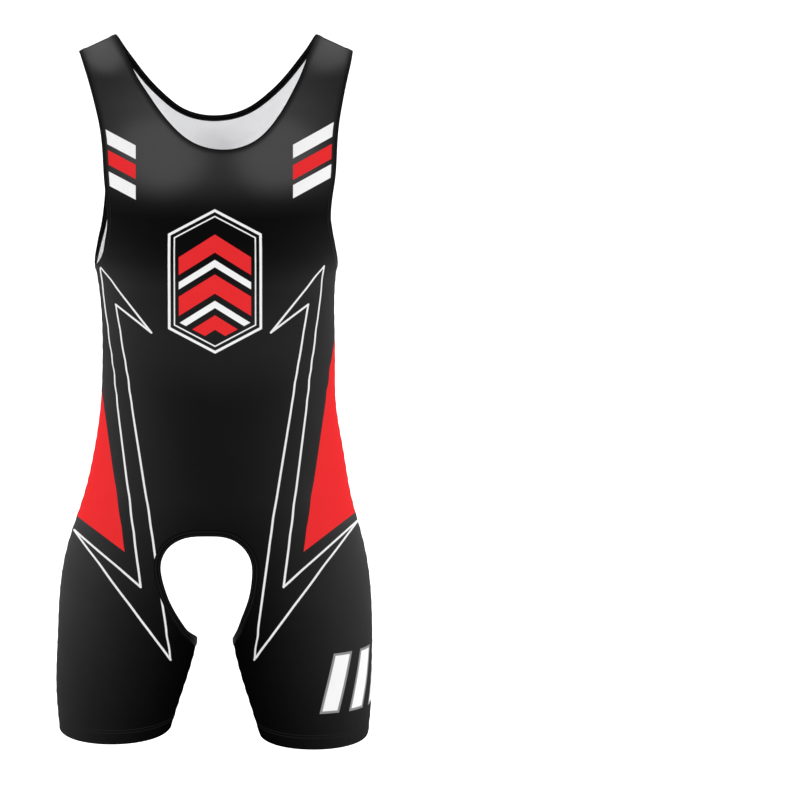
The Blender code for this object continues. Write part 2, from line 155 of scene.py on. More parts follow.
NECK_STEPS, ARM_STEPS, ARCH_STEPS, MIDDLE_ROWS, COLUMNS = 60, 96, 76, 66, 54
LEG_ROWS = 40
BESIDE_INSEAM = -815 * MM  # a mesh row falls from the top of an inseam to this height at the side seam
HEM_ROWS = [3.2 * MM, 1.6 * MM, 0.8 * MM, 0.35 * MM, 0.1 * MM]  # the last rows above the hem
LAST_GAP = 1.6  # the row above them is this many times higher than the first of them
BOWED_ROWS = 14  # the rows by the shoulder straighten over this many
SLOPE_STEP = 2e-4  # step in around and in height over which a slope is measured
HALVINGS = 36  # enough to find a place exactly
ON_A_LINE, ON_THE_SEAM = 1e-9, 1e-6  # a place this close to a middle or a seam is on it


class Spline:
    """A natural cubic spline through rows of numbers."""

    def __init__(self, knots, rows):
        self.knots, self.rows = np.array(knots, float), np.array(rows, float)
        count, step = len(self.knots), np.diff(self.knots)
        system, bends = np.eye(count), np.zeros_like(self.rows)
        rise = np.diff(self.rows, axis=0) / step[:, None]
        for i in range(1, count - 1):
            system[i, i - 1:i + 2] = step[i - 1], 2 * (step[i - 1] + step[i]), step[i]
            bends[i] = 6 * (rise[i] - rise[i - 1])
        self.bends = np.linalg.solve(system, bends)

    def __call__(self, at):
        at = np.asarray(at, float)
        i = np.clip(np.searchsorted(self.knots, at) - 1, 0, len(self.knots) - 2)
        step = (self.knots[i + 1] - self.knots[i])[..., None]
        after = (at - self.knots[i])[..., None] / step
        before = 1 - after
        bend = (before ** 3 - before) * self.bends[i] + (after ** 3 - after) * self.bends[i + 1]
        return before * self.rows[i] + after * self.rows[i + 1] + bend * step * step / 6


def height_spline(table):
    rows = sorted(table)
    return Spline([row[0] * MM for row in rows], [[value * MM for value in row[1:]] for row in rows])


body_at, leg_at = height_spline(BODY), height_spline(LEGS)


def smooth(t):
    t = np.clip(t, 0.0, 1.0)
    return t * t * (3 - 2 * t)


def round_section(angle, half, depth, squareness):
    across, outward = np.sin(angle), np.cos(angle)
    bulge = np.abs(across / half) ** squareness + np.abs(outward / depth) ** squareness
    reach = bulge ** (-1 / squareness)
    return reach * across, reach * outward


def section(face, around, height):
    """Distance from the body's middle, and depth, of the garment's round section."""
    depth = 2 if face == FRONT else 3
    body = body_at(height)
    leg = leg_at(np.clip(height, *LEGS_KNOWN))
    across, out = round_section(around * math.pi / 2, body[..., 0], body[..., depth], BODY_SQUARENESS)
    half_leg = (body[..., 0] - leg[..., 0]) / 2
    leg_across, leg_out = round_section((around * 2 - 1) * math.pi / 2, half_leg, leg[..., depth - 1],
                                        LEG_SQUARENESS)
    share = smooth((LEGS_PART[face] - height) / (LEGS_PART[face] - LEGS_WHOLE))
    return (across + (leg_across + leg[..., 0] + half_leg - across) * share,
            out + (leg_out - out) * share)


def roll_start(x):
    return SHOULDER_TOP - (np.abs(x) - STRAP_INNER) * SHOULDER_SLOPE - ROLL


def form(face, side, around, height):
    """The smooth form that the cloth takes."""
    across, out = section(face, around, height)
    x = body_at(height)[..., 1] + side * across
    start = roll_start(x)
    turn = np.maximum(height - start, 0.0) / ROLL
    z = np.where(turn > 0, start + ROLL * np.sin(turn), height)
    return np.stack((x, face * out * np.cos(turn), z), axis=-1)


def slopes(surface, face, side, around, height):
    """How a surface's place changes with around, and with height."""
    return [(surface(face, side, around + a, height + h) - surface(face, side, around - a, height - h))
            / (2 * SLOPE_STEP) for a, h in ((SLOPE_STEP, 0), (0, SLOPE_STEP))]


def normal(surface, face, side, around, height):
    run_around, run_height = slopes(surface, face, side, around, height)
    square = np.cross(run_around, run_height) * -face * side
    return square / np.linalg.norm(square, axis=-1, keepdims=True)


def creases(face, side, around, height):
    """How far the creases and puckers lift the cloth off its smooth form."""
    place = np.stack((side * around * HALF_GIRTH, height), axis=-1)
    lift = np.zeros(place.shape[:-1])
    both = [(side * a, b, side * c, *rest) for a, b, c, *rest in PAIRED_CREASES[face]]
    for from_a, from_h, to_a, to_h, width, depth in CREASES[face] + both:
        start, end = np.array((from_a, from_h)) * MM, np.array((to_a, to_h)) * MM
        way = end - start
        along = np.clip(((place - start) @ way) / (way @ way), 0.0, 1.0)
        away = np.linalg.norm(place - start - along[..., None] * way, axis=-1)
        fullness = np.sin(math.pi * (CREASE_FROM + CREASE_OVER * along))
        lift += depth * MM * np.exp(-(away / (width * MM)) ** 2) * fullness
    inseam = height < INSEAM_TOP + FLAT_BY_SEAM
    to_seam = np.where(inseam, np.minimum(around, 1 - around), 1 - around) * HALF_GIRTH
    on_strap = np.clip((roll_start(STRAP_INNER) + ROLL_LENGTH - height) / (2 * FLAT_BY_SEAM), 0.0, 1.0)
    fade = smooth(to_seam / FLAT_BY_SEAM) * smooth(on_strap)
    wave = np.sin(2 * math.pi * height / PUCKER_LENGTH + DRIFT * np.sin(height / DRIFT_LENGTH))
    near = np.maximum(to_seam, 0.0) / PUCKER_PEAK
    pucker = PUCKER * wave * near * np.exp(1 - near) * smooth(on_strap)
    return lift * fade + pucker


def cloth(face, side, around, height):
    """The outer face of the cloth, with its creases."""
    lift = creases(face, side, around, height)[..., None]
    return form(face, side, around, height) + normal(form, face, side, around, height) * lift


def painted_light_share(face, spots, around, height):
    """The share of painted light on the black cloth: high where painted highlights lie, low where painted
    shade lies.
    """
    heights, middles, sides = np.array(PAINTED_LIGHT_ROWS[face][::-1]).T
    share = (np.interp(height / MM, heights, middles)
             + np.interp(height / MM, heights, sides) * np.clip(around, 0, 1) ** PAINTED_LIGHT_RISE)
    for x, z, half_width, half_height, more in PAINTED_LIGHT_SPOTS[face]:
        away = ((spots[..., 0] / MM - x) / half_width) ** 2 + ((spots[..., 2] / MM - z) / half_height) ** 2
        share = share + more * np.exp(-away ** 2)
    return share


def around_at(face, side, x, height):
    """The value of around whose cloth lies at x."""
    x, height = np.broadcast_arrays(np.asarray(x, float), np.asarray(height, float))
    wanted = (x - body_at(height)[..., 1]) * side
    low, high = np.zeros_like(wanted), np.ones_like(wanted)
    for _ in range(HALVINGS):
        middle = (low + high) / 2
        inside = section(face, middle, height)[0] < wanted
        low, high = np.where(inside, middle, low), np.where(inside, high, middle)
    return (low + high) / 2


def shoulder_seam(face, side, x):
    height = roll_start(x) + ROLL_LENGTH
    return around_at(face, side, x, height), height


def path_spline(points):
    knots = [0.0]
    for (around_a, height_a), (around_b, height_b) in zip(points, points[1:]):
        knots.append(knots[-1] + math.hypot((around_b - around_a) * HALF_GIRTH, height_b - height_a))
    return Spline(knots, points)


def edge_points(rows, face, side):
    """The rows of an edge table as points of the pattern, with around signed by side."""
    return [(side * float(around_at(face, side, (centre + side * half) * MM, height * MM)), height * MM)
            for height, half, centre in rows]


def halved_path(points, steps, middle, first=0, last=-1):
    """A path's places from its end at -X to the body's middle, and from the middle to its end at +X."""
    path = path_spline(points)
    low, high = path.knots[middle - 1], path.knots[middle + 1]
    for _ in range(HALVINGS):
        centre = (low + high) / 2
        low, high = (centre, high) if path(centre)[0] < 0 else (low, centre)
    halves = (path(np.linspace(path.knots[first], centre, steps + 1)),
              path(np.linspace(centre, path.knots[last], steps + 1)))
    for half in halves:
        half[:, 0] = np.abs(half[:, 0])
    halves[0][-1, 0] = halves[1][0, 0] = 0.0
    return halves


# A loop is a finished edge all the way round, as quarters (face, side, places), each with both its ends.
# hand is 1 if the cloth is above an edge that runs to +X on the front, and -1 if it is below.

def closed_loop(halves_of, hand, width):
    """A loop from the two halves of its front, and those of its back, which it runs through backwards."""
    (front_a, front_b), (back_a, back_b) = halves_of(FRONT), halves_of(BACK)
    quarters = [(FRONT, -1, front_a), (FRONT, 1, front_b), (BACK, 1, back_b[::-1]), (BACK, -1, back_a[::-1])]
    return quarters, hand, width


def neck_halves(face):
    seams = [shoulder_seam(face, side, side * STRAP_INNER) for side in (-1, 1)]
    points = [(-float(seams[0][0]), float(seams[0][1])), *edge_points(NECK[face], face, -1),
              (0.0, NECK_DEPTH[face]), *edge_points(NECK[face][::-1], face, 1),
              (float(seams[1][0]), float(seams[1][1]))]
    return halved_path(points, NECK_STEPS, len(NECK[face]) + 1)


def arch_halves(face):
    top_x, top_height = OPENING_TOP[face]
    top_side = -1 if top_x < 0 else 1
    top = (top_side * float(around_at(face, top_side, top_x, top_height)), top_height)
    left, right = edge_points(OPENING[face][::-1], face, -1), edge_points(OPENING[face], face, 1)
    past_left, past_right = ((-around, height) for around, height in (left[0], right[-1]))
    points = [past_left, (0.0, INSEAM_TOP), *left, top, *right, (0.0, INSEAM_TOP), past_right]
    return halved_path(points, ARCH_STEPS, len(left) + 2, first=1, last=-2)


def armhole_loop(side, width):
    """Down the front from the shoulder seam, through the underarm and up the back."""
    quarters = []
    for face in (FRONT, BACK):
        other = edge_points(ARMHOLE[-face][-1:], -face, side)[0]
        own = [(abs(around), height) for around, height in edge_points(ARMHOLE[face], face, side)]
        seam = shoulder_seam(face, side, side * STRAP_OUTER)
        path = path_spline([(float(seam[0]), float(seam[1])), *own, (1.0, UNDERARM),
                            (2 - abs(other[0]), other[1])])
        half = path(np.linspace(path.knots[0], path.knots[-2], ARM_STEPS + 1))
        half[-1, 0] = 1.0
        quarters.append((face, side, half if face == FRONT else half[::-1]))
    return quarters, -side, width


def inset(loop, width):
    """The quarters of a loop moved into the cloth by a width, measured along the cloth."""
    quarters, hand, _ = loop
    spots = np.concatenate([form(face, side, *places[:-1].T) for face, side, places in quarters])
    ways = np.roll(spots, -1, axis=0) - np.roll(spots, 1, axis=0)
    moved, start = [], 0
    for face, side, places in quarters:
        index = (start + np.arange(len(places))) % len(spots)
        start += len(places) - 1
        around, height = places.T
        inward = np.cross(normal(form, face, side, around, height), ways[index]) * hand
        inward *= width / np.linalg.norm(inward, axis=-1, keepdims=True)
        run_a, run_h = slopes(form, face, side, around, height)
        aa, ah, hh = (np.sum(a * b, axis=-1) for a, b in ((run_a, run_a), (run_a, run_h), (run_h, run_h)))
        ia, ih = np.sum(inward * run_a, axis=-1), np.sum(inward * run_h, axis=-1)
        area = aa * hh - ah * ah
        step_a, step_h = (ia * hh - ih * ah) / area, (ih * aa - ia * ah) / area
        on_line = (np.abs(around) < ON_A_LINE) | (np.abs(around - 1) < ON_A_LINE)
        step_a = np.where(on_line, 0.0, step_a)
        around, height = around + step_a, height + step_h
        on_top = places[:, 1] > roll_start(spots[index, 0])
        on_seam = (np.abs(spots[index, 1]) < ON_THE_SEAM) & on_top
        seam = shoulder_seam(face, side, form(face, side, around, height)[:, 0])
        moved.append((face, side, np.where(on_seam, seam, (around, height)).T))
    return moved


def quarter_of(quarters, face, side):
    """One quarter's places, from its upper end down."""
    places = next(p for f, s, p in quarters if (f, s) == (face, side))
    return places if places[0, 1] > places[-1, 1] else places[::-1]


def spread(start, end, steps):
    share = np.linspace(0, 1, steps + 1)[1:, None]
    return np.array(start) + (np.array(end) - np.array(start)) * share


def hem_height(side, around):
    return HEM[side] + HEM_LIFT[side] * (1 - around) - HEM_DIP[side] * np.sin(math.pi * around)


def half_panel(face, side, neck, arch, armhole):
    """The places of half a panel's rows, from the shoulder seam to the hem, and their heights above it."""
    neck, arm = quarter_of(neck, face, side), quarter_of(armhole, face, side)
    arch = quarter_of(arch, face, side)
    above = HEM_ROWS[0] * LAST_GAP
    inner = np.concatenate((neck, spread(neck[-1], arch[0], MIDDLE_ROWS), arch[1:],
                            spread(arch[-1], (0.0, hem_height(side, 0.0) + above), LEG_ROWS)))
    outer = np.concatenate((arm, spread(arm[-1], (1.0, BESIDE_INSEAM), len(inner) - len(arm) - LEG_ROWS),
                            spread((1.0, BESIDE_INSEAM), (1.0, hem_height(side, 1.0) + above), LEG_ROWS)))
    share = np.linspace(0, 1, COLUMNS + 1)[:, None]
    rows = inner[:, None] + (outer - inner)[:, None] * share
    ridge = np.linspace(form(face, side, *inner[0])[0], form(face, side, *outer[0])[0], COLUMNS + 1)
    bow = np.stack(shoulder_seam(face, side, ridge), axis=-1) - rows[0]
    rows += bow * (1 - smooth(np.arange(len(rows)) / BOWED_ROWS))[:, None, None]
    dip = smooth((np.arange(len(rows)) - (len(rows) - 1 - LEG_ROWS)) / LEG_ROWS)[:, None]
    rows[..., 1] -= dip * HEM_DIP[side] * np.sin(math.pi * rows[..., 0])
    last = rows[-1, :, 0]
    turned = [np.stack((last, hem_height(side, last) + up), axis=-1) for up in (*HEM_ROWS, 0.0)]
    rows = np.concatenate((rows, turned))
    return rows, rows[..., 1] - hem_height(side, rows[..., 0])


def shell_mesh(name, verts, faces, materials, material_index, attribute, domain, values):
    """A mesh whose faces look outwards, with a named attribute of three values that its finish reads."""
    a, b, c, d = (verts[faces[:, k]] for k in range(4))
    volume = np.sum(np.cross(b, c) * a) + np.sum(np.cross(c, d) * a)
    if volume < 0:
        faces = faces[:, ::-1]
        values = values[:, ::-1] if domain == "CORNER" else values
    data = bpy.data.meshes.new(name)
    data.from_pydata(verts.tolist(), [], faces.tolist())
    for material in materials:
        data.materials.append(material)
    data.polygons.foreach_set("material_index", material_index.astype(np.int32))
    layer = data.attributes.new(attribute, "FLOAT_VECTOR", domain)
    layer.data.foreach_set("vector", values.astype(np.float32).ravel())
    data.shade_smooth()
    data.set_sharp_from_angle(angle=math.radians(50))
    thing = bpy.data.objects.new(name, data)
    bpy.context.scene.collection.objects.link(thing)
    return thing


def add_layer(thing, name, values):
    """A named attribute, of one value or a vector for each point, which finishes read."""
    kind, field = ("FLOAT", "value") if values.ndim == 1 else ("FLOAT_VECTOR", "vector")
    layer = thing.data.attributes.new(name, kind, "POINT")
    layer.data.foreach_set(field, values.astype(np.float32).ravel())


def panel(name, face, neck, arch, armholes, materials):
    """A panel's outer and inner face and its rim. Its legs are double where they are turned up."""
    outer, inner, facts, indices, count = [], [], [], {}, 0
    layers = {"painted_light": [], "smooth_place": [], "smooth_square": []}
    for side in (-1, 1):
        places, above = half_panel(face, side, neck, arch, armholes[side])
        around, height = places[..., 0], places[..., 1]
        where = (face, side, around, height)
        square = normal(cloth, *where)
        folded = HEM_ROUND * np.clip(1 - above / HEM_ROUND_UP, 0, 1) ** 2
        wall = KNIT * (2 - smooth((above - TURNED_UP) / HEM_STEP + 0.5)) - folded
        spots = cloth(*where) - square * folded[..., None]
        index = count + np.arange(around.size).reshape(around.shape)
        if side == 1:
            whole = slice(NECK_STEPS, NECK_STEPS + MIDDLE_ROWS + 1)
            index[whole, 0] = indices[-1][whole, 0]
        indices[side] = index
        count += around.size
        outer.append(spots.reshape(-1, 3))
        inner.append((spots - square * wall[..., None]).reshape(-1, 3))
        facts.append(np.stack((side * around * HALF_GIRTH, height, above), axis=-1).reshape(-1, 3))
        # The share of painted light and shade at each place of the cloth.
        layers["painted_light"].append(painted_light_share(face, spots, around, height).ravel())
        layers["smooth_place"].append(form(*where).reshape(-1, 3) / MM)
        layers["smooth_square"].append(normal(form, *where).reshape(-1, 3))
    skin = []
    for side, index in indices.items():
        quads = np.stack((index[:-1, :-1], index[1:, :-1], index[1:, 1:], index[:-1, 1:]), axis=-1)
        skin.append(quads.reshape(-1, 4)[:, ::side])
    skin = np.concatenate(skin)
    edges = np.stack((skin, np.roll(skin, -1, axis=1)), axis=-1).reshape(-1, 2)
    keys, reverse = edges @ (4 * count, 1), edges @ (1, 4 * count)
    rim = edges[~np.isin(keys, reverse)]
    rim = np.stack((rim[:, 1], rim[:, 0], rim[:, 0] + count, rim[:, 1] + count), axis=-1)
    faces = np.concatenate((skin, rim, skin[:, ::-1] + count))
    facts = np.concatenate(facts * 2)
    used, tidy = np.unique(faces, return_inverse=True)
    faces = tidy.reshape(-1, 4)
    verts, facts = np.concatenate(outer + inner)[used], facts[used]
    is_inner = np.arange(len(faces)) >= len(skin) + len(rim)
    shows_inside = is_inner & (facts[faces[:, 0], 2] > TURNED_UP)
    thing = shell_mesh(name, verts, faces, materials, shows_inside, "cloth", "POINT", facts)
    for layer, values in layers.items():
        add_layer(thing, layer, np.concatenate(values * 2)[used])
    return thing


# Finishes. A finish's sums are written as expressions on values.

def math_node(operation):
    """A method that gives the outcome of this operation on a value and others."""
    return lambda self, *others: self.finish.add("Math", {"operation": operation}, [self, *others])


class Value:
    """One output of a finish's nodes, which can be reckoned with."""

    __add__ = __radd__ = math_node("ADD")
    __mul__ = __rmul__ = math_node("MULTIPLY")
    __sub__, __truediv__, __abs__ = math_node("SUBTRACT"), math_node("DIVIDE"), math_node("ABSOLUTE")
    least, most, part = math_node("MINIMUM"), math_node("MAXIMUM"), math_node("FRACT")
    root, angle_over = math_node("SQRT"), math_node("ARCTAN2")

    def __init__(self, finish, socket):
        self.finish, self.socket = finish, socket

    def __rsub__(self, other):
        return self.finish.add("Math", {"operation": "SUBTRACT"}, [other, self])

    def dot(self, direction):
        settings = {"operation": "DOT_PRODUCT"}
        return self.finish.add("VectorMath", settings, [self, direction], "Value")

    def smoothly(self, low, high):
        return self.finish.add("MapRange", {"interpolation_type": "SMOOTHSTEP"}, [self, low, high])

    def filled(self):
        """1 inside a printed shape and 0 outside, if this is a distance that is positive inside."""
        return self.smoothly(-PRINT_SOFT, PRINT_SOFT)


class Finish:
    """A material of the garment, with its nodes."""

    def __init__(self, name, **constants):
        self.material = bpy.data.materials.new(name)
        self.material.use_nodes = True
        self.tree = self.material.node_tree
        self.shader = self.tree.nodes["Principled BSDF"]
        for socket, value in constants.items():
            self.shader.inputs[socket.replace("_", " ")].default_value = value

    def add(self, kind, settings, values, output=0):
        """A node of this kind. values is for its sockets, in order or by name."""
        node = self.tree.nodes.new("ShaderNode" + kind)
        for name, setting in settings.items():
            setattr(node, name, setting)
        for socket, value in values.items() if isinstance(values, dict) else enumerate(values):
            self.put(node.inputs[socket], value)
        return Value(self, node.outputs[output])

    def put(self, socket, value):
        if isinstance(value, Value):
            self.tree.links.new(value.socket, socket)
        else:
            socket.default_value = value

    def wear(self, **values):
        """Joins values to the shader's sockets."""
        for socket, value in values.items():
            self.put(self.shader.inputs[socket.replace("_", " ")], value)

    def mix(self, share, first, second):
        settings = {"data_type": "RGBA", "clamp_factor": True}
        return self.add("Mix", settings, {0: share, 6: first, 7: second}, 2)

    def noise(self, vector, scale, detail=2.0):
        return self.add("TexNoise", {}, {"Vector": vector, "Scale": scale, "Detail": detail}, "Fac")

    def place(self):
        """The place in the garment, in mm."""
        spot = self.add("TexCoord", {}, [], "Object")
        return self.add("VectorMath", {"operation": "SCALE"}, {0: spot, "Scale": 1 / MM})

    def layer(self, name, output="Vector"):
        """What the mesh's attribute of this name holds."""
        return self.add("Attribute", {"attribute_name": name}, [], output)

    def axes(self, vector):
        split = self.add("SeparateXYZ", {}, [vector])
        return [Value(self, output) for output in split.socket.node.outputs]

    def bump(self, height, distance, under=None):
        """The surface raised by height, from 0 to 1, times a distance."""
        values = {"Height": height, "Distance": distance}
        if under is not None:
            values["Normal"] = under
        return self.add("Bump", {}, values, "Normal")


WALE, COURSE = 0.9, 0.75  # width and height of a knit stitch, in mm
V_SLANT = 0.55  # its legs rise by this many courses
COLUMN_SHARE, ROW_SHARE = 0.65, 0.35  # how much of its height is its column's, and its row's
DIPS_UNDER = (0.36, 0.44)  # a stitch goes under the cloth here, in steps from its middle
KNIT_SHADE = 0.18  # the colour is this much darker between the stitches
SEAM_HALF = 2.8  # half the width of a flatlock seam, in mm
HEM_STITCHES = (15, 18.5)  # rows of stitches above the hem, in mm
SEAM_STITCH, HEM_STITCH = (0.5, 1.9), (0.45, 2.8)  # half width of the thread and length of a stitch
STITCH_DIP = 1.4  # a row of stitches dents the cloth this far to each side
KNIT_SHADOW = (0.004, 0.004, 0.004, 1)
INSIDE_ROUGHER = 0.2  # the unprinted side is this much rougher


def joined(values, how=Value.most):
    """One value from several: the union of masks, or the least of distances."""
    whole, *rest = values
    for value in rest:
        whole = how(whole, value)
    return whole


def cloth_axes(finish):
    """Distance around and height on the cloth, and height above its hem, in mm."""
    return [value / MM for value in finish.axes(finish.layer("cloth"))]


def knit_height(across, height):
    """Columns of small V stitches, from 0 to 1."""
    column = (across / WALE).part() - 0.5
    off = abs(column) * 2
    row = (height / COURSE + off * V_SLANT).part() - 0.5
    return (1 - off * off) * COLUMN_SHARE + (1 - abs(row) * 2) * ROW_SHARE


def dashes(off, along, stitch):
    """A row of stitches: 1 on the thread and 0 beside it."""
    half_width, length = stitch
    thread = 1 - abs(off).smoothly(half_width * 0.5, half_width)
    return thread * (1 - abs((along / length).part() - 0.5).smoothly(*DIPS_UNDER))


def stitched_knit(finish, colour, thread, inside=False):
    """Gives a finish the knit's surface, its flatlock seams and its hem stitches."""
    spot = finish.place()
    x, y, z = finish.axes(spot)
    across, height, above = cloth_axes(finish)
    knit = knit_height(across, height)
    near_seam = abs(y)
    seam = 1 - near_seam.smoothly(SEAM_HALF - 0.5, SEAM_HALF)
    way = z - abs(x)
    cross = abs(((way + near_seam * 0.9) / SEAM_STITCH[1]).part() - 0.5) * 2
    edge = dashes(near_seam - SEAM_HALF + 0.6, way, SEAM_STITCH)
    rows = [dashes(above - up, across, HEM_STITCH) for up in HEM_STITCHES]
    stitches = joined([seam * (1 - cross.smoothly(0.30, 0.62)) * 0.8, edge, *rows])
    dent = sum(1 - abs(above - up).smoothly(0.0, STITCH_DIP) for up in HEM_STITCHES)
    broad = finish.noise(spot, 0.012, 3.0)
    fine = finish.noise(spot, 0.35, 2.0)
    shown = finish.mix((1 - knit) * KNIT_SHADE, colour, KNIT_SHADOW)
    shown = finish.mix(stitches * (0.6 if inside else 0.85), shown, thread)
    roughness = 0.36 + broad * 0.10 + fine * 0.05 + stitches * 0.12
    if inside:
        roughness = roughness + INSIDE_ROUGHER
    soft = finish.bump(finish.noise(spot, 0.022, 2.0), 1.6 * MM)
    raised = finish.bump(knit * 0.16 + stitches * 0.55 + seam * 0.3 - dent * 0.5 + fine * 0.08,
                         0.45 * MM, soft)
    finish.wear(Base_Color=shown, Roughness=roughness, Normal=raised)


# The print, in mm across and down the garment as it is seen from 13 degrees above its front or back. It is
# laid on the smooth form, so creases carry it with them.

LOOK_DOWN = math.radians(13)
VIEW = {face: (np.array((-face, 0.0, 0.0)),
               np.array((0.0, face * math.sin(LOOK_DOWN), -math.cos(LOOK_DOWN)))) for face in (FRONT, BACK)}
LINE_HALF = {FRONT: 1.35, BACK: 1.6}
PRINT_SOFT = 0.35  # the dye's edge blurs over this
LEAST_STRETCH = 0.55  # lines widen no more than this where the cloth turns away

# The second colour is the painted highlight grey towards which painted light lifts the black cloth.
BLACK, PAINTED_LIGHT_GREY, WHITE = (0.0012, 0.0012, 0.0012, 1), (0.069, 0.067, 0.068, 1), (0.84, 0.84, 0.84, 1)
LINE_GREY, RED = (0.78, 0.78, 0.79, 1), (0.74, 0.026, 0.029, 1)
EDGE_GREY = (0.24, 0.24, 0.25, 1)

FRONT_LINES = [  # chains of corners, across and down
    [(135, 276), (68.5, 358.5), (115, 323.5)],
    [(135, 276), (95, 592.5), (84, 676), (176.5, 593)],
    [(115, 323.5), (71, 592.5), (46.5, 767.5), (176.5, 593.5)],
    [(-145, 276), (-80.5, 358.5), (-125, 323.5)],
    [(-145, 276), (-105.5, 592.5), (-94.5, 676), (-178, 605)],
    [(-125, 323.5), (-83, 592.5), (-57, 767.5), (-178, 605.5)],
]
RED_BLOCKS = [  # inner line from its upper to its lower end, and the block's outer lower corner
    ((147, 374), (109, 632), (172, 584)),
    ((-141, 446), (-114.5, 632), (-171, 590)),
]
CHEST_STRIPES = [  # place across where the rest is measured, slope, inner end, then white, red and white
    (-117.5, 0.53, -99.5, (116.3, 133.3), (140.3, 158), (166.3, 183.8)),
    (120, -0.555, 96.3, (111.8, 128.8), (137.3, 155.5), (162, 178.5)),
]
BADGE = (-1, 295)  # middle of the badge
BADGE_HALF, BADGE_TIP, BADGE_SIDE = 57, 88, 58  # half width, height of its tips and of its side corners
OUTER_RIM, INNER_RIM, RIM_GAP = 1.6, 0.8, 6.5  # half widths of its two outlines, and between them
CHEVRON_SLOPE, CHEVRON_MARGIN = 0.62, 12  # the chevrons stay this far inside its outer outline
CHEVRONS = [(-58, -36, "red"), (-27, -18, "white"), (-9, 15, "red"), (24, 33, "white"), (42, 60, "red")]
LEG_MIDDLE, LEG_ROUND = 114, 81  # middle and radius of the left leg
BARS_FROM, BAR_STEP, BAR_WIDTH, BAR_COUNT = 33, 42, 27, 5  # round the leg from its front
BARS_TOP, BARS_BOTTOM, BAR_SLANT, BAR_EDGE = -762, -840, 0.22, 3.2
SLIVER = 0.1  # share of a step left off the last bar, so none starts after it


def line_off(spot, start, end, view):
    """How far a place is off the line through two points, towards -across if the line runs down."""
    run, fall = end[0] - start[0], end[1] - start[1]
    length = math.hypot(run, fall)
    run, fall = run / length, fall / length
    square = view[1] * run - view[0] * fall
    return spot.dot(square) - float(start[1] * run - start[0] * fall), square


def line_work(spot, square_to, chains, face):
    """A mask of thin lines along the chains."""
    distances, view = [], VIEW[face]
    for chain in chains:
        for start, end in zip(chain, chain[1:]):
            off, across_line = line_off(spot, start, end, view)
            lean = square_to.dot(across_line)
            stretch = (1 - lean * lean).most(LEAST_STRETCH ** 2)
            run, fall = end[0] - start[0], end[1] - start[1]
            length = math.hypot(run, fall)
            along_line = (view[0] * run + view[1] * fall) / length
            middle = ((start[0] + end[0]) * run + (start[1] + end[1]) * fall) / 2 / length
            past = (abs(spot.dot(along_line) - middle) - length / 2).most(0.0)
            distances.append(off * off / stretch + past * past)
    return (LINE_HALF[face] - joined(distances, Value.least).root()).filled()


def stripes(across, down, groups):
    """Masks of the white and of the red stripes of all groups."""
    masks = {"white": [], "red": []}
    for where, slope, inner, *bands in groups:
        level = down - (across - where) * slope
        beside = (inner - across) if where < 0 else (across - inner)
        for (top, bottom), dye in zip(bands, ("white", "red", "white")):
            masks[dye].append((level - top).least(bottom - level).least(beside).filled())
    return masks


def leg_bars(x, y, z):
    """Masks of the slanted bars round the left leg, and of their grey edges."""
    round_leg = (x - LEG_MIDDLE).angle_over(0 - y) * LEG_ROUND
    step = (round_leg - (z - BARS_TOP) * BAR_SLANT - BARS_FROM) / BAR_STEP
    within = step.part() * BAR_STEP
    inside = (step * BAR_STEP).least((BAR_COUNT - SLIVER - step) * BAR_STEP)
    distance = within.least(BAR_WIDTH - within).least(inside).least(BARS_TOP - z).least(z - BARS_BOTTOM)
    return distance.filled(), (distance - BAR_EDGE).filled()


def black_cloth_with_painted_light(finish, spot, knit):
    """Black dye, lightened by painted light and shade, which is strongest between the stitches."""
    painted_light_grain = (0.8 + finish.noise(spot, 0.012, 3.0) * 0.4) * (1.5 - knit * 0.8)
    return finish.mix(finish.layer("painted_light", "Fac") * painted_light_grain, BLACK, PAINTED_LIGHT_GREY)


def front_shapes(spot, across, down, masks):
    """Adds the masks of the red blocks and of the badge."""
    for top, corner, outer in RED_BLOCKS:
        hand = -1 if top[0] > 0 else 1
        beside, above = (line_off(spot, start, end, VIEW[FRONT])[0] * hand
                         for start, end in ((top, corner), (corner, outer)))
        masks["red"].append(beside.least(above).filled())
    badge_x, badge_y = abs(across - BADGE[0]), down - BADGE[1]
    slant = math.hypot(BADGE_HALF, BADGE_TIP - BADGE_SIDE)
    sides = (badge_x * (BADGE_TIP - BADGE_SIDE) + abs(badge_y) * BADGE_HALF) / slant
    rim = (badge_x - BADGE_HALF).most(sides - BADGE_TIP * BADGE_HALF / slant)
    for half, gap in ((OUTER_RIM, 0), (INNER_RIM, RIM_GAP)):
        masks["white"].append((half - abs(rim + gap)).filled())
    level = badge_y - badge_x * CHEVRON_SLOPE
    for top, bottom, dye in CHEVRONS:
        masks[dye].append((level - top).least(bottom - level).least(-CHEVRON_MARGIN - rim).filled())


def printed_knit(name, face, chains, groups, add_shapes=None):
    """A panel's outer face: red shapes, thin lines over them, then white shapes, and the bars on top."""
    finish = Finish(name, Specular_IOR_Level=0.0)
    spot, square_to = finish.layer("smooth_place"), finish.layer("smooth_square")
    across, down = (spot.dot(way) for way in VIEW[face])
    masks = stripes(across, down, groups)
    if add_shapes:
        add_shapes(spot, across, down, masks)
    lines = line_work(spot, square_to, chains, face)
    bars, bar_cores = leg_bars(*finish.axes(spot))
    colour = black_cloth_with_painted_light(finish, spot, knit_height(*cloth_axes(finish)[:2]))
    for mask, dye in ((joined(masks["red"]), RED), (lines, LINE_GREY), (joined(masks["white"]), WHITE),
                      (bars, EDGE_GREY), (bar_cores, WHITE)):
        colour = finish.mix(mask, colour, dye)
    stitched_knit(finish, colour, THREAD)
    return finish.material


